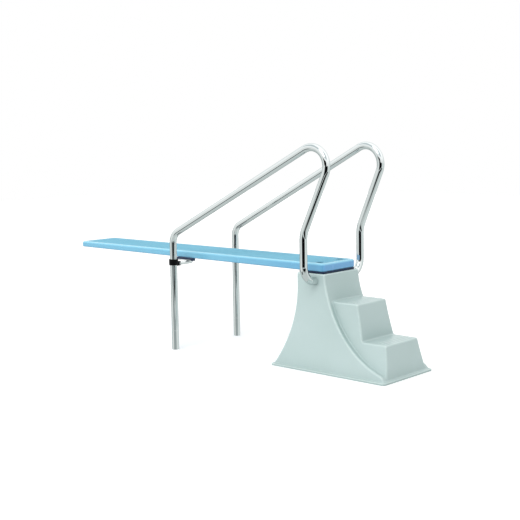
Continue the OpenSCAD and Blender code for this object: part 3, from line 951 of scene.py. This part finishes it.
class Surface(Nodes):
    """A material around one Principled shader, patterned in the object's own metres."""

    def __init__(self, name):
        self.material = blank_material(name)
        super().__init__(self.material.node_tree)
        self.shader = self.add("BsdfPrincipled")
        self.add("OutputMaterial", {"Surface": self.shader.outputs["BSDF"]})
        self.position = self.add("TexCoord").outputs["Object"]

    def set(self, **values):
        for key, value in values.items():
            self.put(value, self.shader.inputs[key.replace("_", " ")])

    def noise(self, scale, detail=4, stretch=(1, 1, 1)):
        """Noise of scale features per metre."""
        mapping = self.add("Mapping", {"Vector": self.position, "Scale": stretch})
        node = self.add("TexNoise", {
            "Vector": mapping.outputs["Vector"], "Scale": scale, "Detail": detail})
        return node.outputs["Fac"]

    def ramp(self, source, low, high, low_colour, high_colour):
        """A colour ramp from low_colour at low to high_colour at high."""
        node = self.add("ValToRGB", {"Fac": source})
        stops = node.color_ramp.elements
        stops[0].position, stops[1].position = low, high
        stops[0].color, stops[1].color = (*low_colour, 1), (*high_colour, 1)
        return node.outputs["Color"]

    def bump(self, height, distance, strength, below=None):
        node = self.add("Bump", {"Height": height, "Distance": distance, "Strength": strength})
        if below is not None:
            self.put(below, node.inputs["Normal"])
        self.set(Normal=node.outputs["Normal"])
        return node.outputs["Normal"]


def linear(red, green, blue):
    """Scene colour from display values of 0 to 255."""
    def one(v):
        v /= 255
        return v / 12.92 if v <= 0.04045 else ((v + 0.055) / 1.055) ** 2.4
    return tuple(one(v) for v in (red, green, blue))


# ---------------------------------------------------------------- materials
def gelcoat(name, light, dark, roughness):
    """Sprayed gelcoat: faint mottling, orange peel, and a little wear in its gloss.
    Gives the surface and its colour socket, for more layers of colour."""
    m = Surface(name)
    smear = m.noise(14, 5, (1, 1, 0.35))
    peel = m.bump(m.noise(190, 2), 0.00022, 0.35)
    m.bump(m.noise(1400, 2), 0.00002, 0.35, peel)
    m.set(Roughness=m.rise(smear, 0.3, 0.75, roughness - 0.06, roughness + 0.09),
          IOR=1.5, Coat_Weight=0.25, Coat_Roughness=0.12)
    return m, m.ramp(m.noise(3.5, 3), 0.3, 0.7, dark, light)


def pale_gelcoat():
    """Painted highlight on its edges, dusty at its foot, painted shade in its creases and between the tread
    ridges.
    """
    m, shade = gelcoat("pale_gelcoat", linear(197, 217, 216), linear(191, 212, 210), 0.34)
    x, y, z = m.axes(m.position)
    # Painted highlight: edges and corners are lighter.
    edge_highlight = m.rise(m.add("NewGeometry").outputs["Pointiness"], 0.505, 0.54)
    shade = m.colour(edge_highlight, shade, linear(222, 240, 238))
    dust = m.product(m.rise(z, 0.0, 0.06, 1.0, 0.0), m.rise(m.noise(55, 6), 0.45, 0.8, 0.0, 0.22))
    shade = m.colour(dust, shade, linear(176, 184, 176))
    # Painted shade: creases and hollows are darker.
    crease_shade = m.add("AmbientOcclusion", {"Distance": 110 * MM}, samples=8).outputs["AO"]
    shade = m.colour(m.rise(crease_shade, 0.97, 0.45, 0.0, 0.5), shade, linear(150, 176, 174))
    # Painted shade between the ridges on the treads, so that the ridges show.
    within = m.rise(m.do("ABSOLUTE", y), STAIR_HALF_W - 10 * MM, STAIR_HALF_W - 14 * MM)
    for nose, tread in ((NOSE_HIGH, TREAD_HIGH), (NOSE_LOW, TREAD_LOW)):
        first = nose + RIDGE_SETBACK
        last = first + (RIDGE_COUNT - 1) * RIDGE_PITCH
        ridge_shade = m.product(
            m.rise(x, first - 14 * MM, first - 10 * MM), m.rise(x, last + 14 * MM, last + 10 * MM),
            m.rise(z, tread + 0.9 * MM, tread + 0.3 * MM), m.rise(z, tread - 3 * MM, tread - 1 * MM),
            within, 0.5)
        shade = m.colour(ridge_shade, shade, linear(168, 192, 190))
    m.set(Base_Color=shade)
    return m.material


def blue_gelcoat():
    """Painted light where it faces up; painted shade on its rear end, underneath and inside the recesses;
    its sides a deeper blue towards the rear.
    """
    m, shade = gelcoat("blue_gelcoat", linear(131, 202, 232), linear(125, 196, 228), 0.22)
    across, along, upward = m.axes(m.add("NewGeometry").outputs["Normal"])
    x, y, z = m.axes(m.position)
    # Painted shade: faces turned to the rear, such as the board's rear end, are a deeper blue.
    shade = m.colour(m.rise(across, -0.4, -0.95), shade, linear(120, 184, 236))
    deeper = m.product(m.rise(m.do("ABSOLUTE", along), 0.5, 0.9), m.rise(x, 1.25, BOARD_REAR), 0.62)
    shade = m.colour(deeper, shade, linear(96, 164, 214))
    # Painted shade: faces turned downward are darker.
    shade = m.colour(m.rise(upward, 0.02, -0.45), shade, linear(92, 160, 198))
    # Painted light: faces turned upward are lighter.
    shade = m.colour(m.rise(upward, 0.15, 0.7), shade, linear(154, 226, 252))
    # Painted shade inside the bolt recesses.
    off_x = m.do("POWER", m.do("SUBTRACT", x, BOLT_X), 2.0)
    off_y = m.do("POWER", m.do("SUBTRACT", m.do("ABSOLUTE", y), BOLT_Y), 2.0)
    from_bolt = m.do("SQRT", m.do("ADD", off_x, off_y))
    recess_shade = m.product(m.rise(from_bolt, RECESS_R + 3 * MM, RECESS_R + 1 * MM),
                      m.rise(z, BOARD_TOP - 1.2 * MM, BOARD_TOP - 3 * MM), 0.9)
    m.set(Base_Color=m.colour(recess_shade, shade, linear(44, 104, 130)))
    return m.material


def blue_grit():
    """Fine sand under paint, with a painted highlight on every grain."""
    m = Surface("blue_grit")
    grains = m.add("TexVoronoi", {"Vector": m.position, "Scale": 620}).outputs["Distance"]
    paint_coat = m.ramp(m.noise(7, 5, (0.4, 1, 1)), 0.3, 0.72, linear(117, 189, 215), linear(129, 202, 228))
    # Painted highlight: each grain is lighter at its middle.
    grain_highlight = m.ramp(grains, 0.0, 0.9, linear(142, 212, 236), linear(100, 172, 202))
    m.set(Base_Color=m.colour(0.35, paint_coat, grain_highlight), Roughness=0.78, IOR=1.45)
    m.bump(grains, 0.0006, 0.7, m.bump(m.noise(900, 4), 0.0005, 0.6))
    return m.material


def navy_rubber():
    m = Surface("navy_rubber")
    m.set(Base_Color=m.ramp(m.noise(60, 5), 0.35, 0.7, linear(18, 40, 74), linear(26, 52, 88)),
          Roughness=m.rise(m.noise(90, 3), 0.3, 0.7, 0.55, 0.75))
    m.bump(m.noise(1500, 3), 0.0001, 0.5)
    return m.material


def black_plastic():
    m = Surface("black_plastic")
    m.set(Base_Color=m.ramp(m.noise(120, 4), 0.35, 0.7, linear(4, 4, 6), linear(12, 12, 14)),
          Roughness=m.rise(m.noise(220, 3), 0.3, 0.7, 0.42, 0.6), Specular_IOR_Level=0.12)
    m.bump(m.noise(2600, 2), 0.00006, 0.5)
    return m.material


def steel(name, colour, smooth, rough, scratch):
    """Stainless steel with faint polishing lines and dull water marks."""
    m = Surface(name)
    m.set(Base_Color=m.ramp(m.noise(9, 4), 0.3, 0.7, colour, tuple(0.96 * c for c in colour)),
          Roughness=m.rise(m.noise(38, 6), 0.45, 0.8, smooth, rough),
          Metallic=1.0, Specular_Tint=(0.50, 0.56, 0.56))
    m.bump(m.noise(700, 2, (1, 1, 0.05)), scratch, 0.25)
    return m.material


def plywood():
    m = Surface("plywood")
    rings = m.add("TexWave", {"Vector": m.position, "Scale": 95, "Distortion": 1.5},
                  wave_type="BANDS", bands_direction="Z").outputs["Fac"]
    grain = m.noise(55, 6, (0.06, 1, 1))
    layers = m.ramp(rings, 0.35, 0.65, linear(186, 143, 95), linear(150, 106, 64))
    fibres = m.ramp(grain, 0.3, 0.75, linear(205, 165, 116), linear(158, 114, 70))
    m.set(Base_Color=m.colour(0.5, layers, fibres), Roughness=0.62)
    m.bump(grain, 0.0003, 0.5)
    return m.material


def paint(material, *objects):
    for o in objects:
        o.data.materials.clear()
        o.data.materials.append(material)


def repaint_node(node, material, edge=0.6 * MM):
    """Gives a carried-over CAD node its material and eased edges."""
    obj = frame["nodes"][node]
    for slot in obj.material_slots:
        slot.material = material
    bevel = obj.modifiers.new("eased_edges", "BEVEL")
    bevel.width = edge
    bevel.segments = 2
    bevel.limit_method = "ANGLE"
    bevel.angle_limit = math.radians(50)


# ---------------------------------------------------------------- stage, light and camera
GROUND = (0.62, 0.68, 0.67)
NEAR_BLACK = (0.004, 0.004, 0.005)


def camera():
    """Stands where the photographer stood, with the same lens."""
    data = bpy.data.cameras.new("camera")
    data.lens = 70.0
    data.sensor_width = 36.0
    data.shift_x = 0.00804
    data.shift_y = -0.01862
    data.clip_end = 60
    obj = linked("camera", data)
    obj.matrix_world = Matrix.Translation((-3.0514, 4.4894, 1.3240))
    heading, pitch, roll = -47.2, -6.53, -0.93
    for angle, axis in ((heading - 90, "Z"), (pitch + 90, "X"), (roll, "Z")):
        obj.matrix_world @= Matrix.Rotation(math.radians(angle), 4, axis)
    bpy.context.scene.camera = obj


def floor():
    """A white sweep of floor: for the camera it is close to burnt out, so only contact shadows show."""
    size = 14
    corners = [(-size, -size, 0), (size, -size, 0), (size, size, 0), (-size, size, 0)]
    obj = new_object("floor", corners, [(0, 1, 2, 3)])
    obj.location = (1.3, 0, -0.5 * MM)
    m = Surface("floor")
    seen = m.add("LightPath").outputs["Is Camera Ray"]
    m.set(Base_Color=m.ramp(m.noise(4, 3), 0.3, 0.7, (0.90, 0.90, 0.90), (0.92, 0.92, 0.92)),
          Roughness=0.9, Specular_IOR_Level=0.0,
          Emission_Color=(1, 1, 1), Emission_Strength=m.product(seen, 0.30))
    paint(m.material, obj)
    obj.visible_glossy = False


def card(name, corners, material):
    """A flat sheet that only reflections see."""
    obj = new_object(name, corners, [(0, 1, 2, 3)])
    paint(material, obj)
    for kind in ("camera", "diffuse", "transmission", "shadow"):
        setattr(obj, "visible_" + kind, False)


def flags():
    """Dark flags beside the camera: they draw the black lines on the steel."""
    m = Surface("flag")
    m.set(Base_Color=NEAR_BLACK, Roughness=1.0, Specular_IOR_Level=0.0)
    for name, a, b, bottom, top in (
            ("flag_low", (0.42, 2.70), (-2.44, 0.78), 0.20, 1.25),
            ("flag_high", (1.60, 3.49), (-1.00, 1.74), 1.25, 1.80)):
        card(name, [(*a, bottom), (*b, bottom), (*b, top), (*a, top)], m.material)


def floor_reflection():
    """A painted reflection: a glowing sheet on the floor, seen only in reflections, that darkens towards
    the low flag.
    """
    material = blank_material("floor_reflection")
    n = Nodes(material.node_tree)
    x, y, _ = n.axes(n.add("NewGeometry").outputs["Position"])
    towards = n.do("ADD", n.product(x, -0.557), n.product(y, 0.830))
    dark = n.product(n.rise(towards, 0.68, 1.12), n.rise(x, 0.45, -0.25))
    glow = n.add("Emission", {"Color": n.colour(dark, GROUND, NEAR_BLACK)})
    n.add("OutputMaterial", {"Surface": glow.outputs[0]})
    card("floor_reflection", [
        (0.55, 0.30, 0), (0.55, 2.78, 0), (-2.60, 0.67, 0), (-2.60, -1.60, 0)], material)


def board_card():
    """Stands in for the board's far side in the far rail's reflections; it is seen from outside only."""
    material = blank_material("board_card")
    n = Nodes(material.node_tree)
    glow = n.add("Emission", {"Color": (0.27, 0.47, 0.68)})
    clear = n.add("BsdfTransparent")
    one_sided = n.add("MixShader", {
        0: n.add("NewGeometry").outputs["Backfacing"], 1: glow.outputs[0], 2: clear.outputs[0]})
    n.add("OutputMaterial", {"Surface": one_sided.outputs[0]})
    y = 1 * MM - BOARD_HALF_W
    low = BOARD_BOTTOM - 30 * MM
    x0, x1 = BOARD_REAR + 4 * MM, BOARD_REAR + 0.6
    card("board_card", [(x0, y, low), (x1, y, low), (x1, y, BOARD_TOP), (x0, y, BOARD_TOP)], material)


def key_light():
    """One broad soft light from the camera's side and above."""
    data = bpy.data.lights.new("key", "SUN")
    data.energy = 0.8
    data.angle = math.radians(32)
    obj = linked("key", data)
    obj.rotation_euler = Vector((0.18, -0.70, -0.70)).to_track_quat("-Z", "Y").to_euler()


def world():
    """White for the camera; a soft studio for the surfaces; white, grey and black zones for the steel."""
    studio = bpy.data.worlds.new("studio")
    bpy.context.scene.world = studio
    studio.use_nodes = True
    n = Nodes(studio.node_tree)
    background = next(node for node in n.tree.nodes if node.type == "BACKGROUND")
    x, y, z = n.axes(n.add("TexCoord").outputs["Generated"])
    degrees = 180 / math.pi
    rise = n.product(n.do("ARCSINE", z), degrees)
    heading = n.product(n.do("ARCTAN2", y, x), degrees)

    # What the surfaces are lit by: brighter from above and from the board's tip.
    soft = n.do("ADD", 0.66, n.do("ADD", n.product(x, 0.28), n.product(z, 0.26)))
    ambient = n.colour(soft, (0.0, 0.0, 0.0), (1.0, 1.0, 1.0))

    # What the steel mirrors: a bright sky, a grey-green ground, and dark lines between them.
    sky = n.colour(n.rise(rise, 4, 30), (0.90, 0.94, 0.93), (1.30, 1.32, 1.32))
    dull = n.product(n.rise(rise, 22, 32), n.rise(rise, 70, 60), n.rise(heading, 4, 16))
    sky = n.colour(dull, sky, (0.62, 0.70, 0.72))
    behind = n.do("MAXIMUM", n.rise(heading, -70, -95), n.rise(heading, 168, 176))
    ground = n.colour(behind, GROUND, (0.76, 0.83, 0.82))
    near = n.product(n.rise(heading, 78, 84), n.rise(heading, 172, 166), n.rise(rise, -14.5, -13))
    ground = n.colour(near, ground, n.colour(
        n.rise(rise, -7, -11), (0.20, 0.23, 0.23), (0.38, 0.43, 0.43)))
    ahead = n.product(n.rise(heading, 34, 40), n.rise(heading, 80, 76))
    wall = n.colour(n.rise(rise, -28, -31), (0.86, 0.90, 0.89), (0.07, 0.09, 0.09))
    wall = n.colour(n.rise(rise, -43, -46), wall, GROUND)
    mirrored_room = n.colour(n.rise(rise, -0.4, 0.4), n.colour(ahead, ground, wall), sky)

    path = n.add("LightPath").outputs
    seen = n.colour(path["Is Glossy Ray"], ambient, mirrored_room)
    n.put(n.colour(path["Is Camera Ray"], seen, (1.0, 1.0, 1.0)), background.inputs["Color"])
    background.inputs["Strength"].default_value = 1.0


def build():
    steel_bright = steel("polished_steel", (0.80, 0.82, 0.82), 0.05, 0.12, 0.00002)
    steel_plain = steel("plain_steel", (0.56, 0.57, 0.58), 0.28, 0.42, 0.00006)
    rubber, plastic, wood = navy_rubber(), black_plastic(), plywood()
    paint(pale_gelcoat(), pedestal_moulding())
    board, core, grit = board_moulding(), board_core(), board_grit()
    paint(blue_gelcoat(), board)
    paint(wood, core)
    paint(blue_grit(), grit)
    # board_card() stands in for the board in the steel's reflections.
    for layer in (board, core, grit):
        layer.visible_glossy = False
    paint(rubber, rear_pad(), support_pads())
    paint(steel_bright, *handrails(), *support_arms())
    paint(plastic, *clamps(), leg_plugs())
    paint(steel_plain, board_bolts(), board_washers(), board_nuts(), *clamp_fasteners(),
          rail_fasteners(), saddles())
    for node in ("pedestal_top_plate", "tread_panels"):
        repaint_node(node, wood)
    for node in ("rail_backing_plates", "rail_end_inserts", "rail_end_washers", "pad_screws"):
        repaint_node(node, steel_plain, 0.25 * MM)


build()
floor()
flags()
floor_reflection()
board_card()
world()
key_light()
camera()
bpy.context.scene.view_settings.view_transform = "Standard"
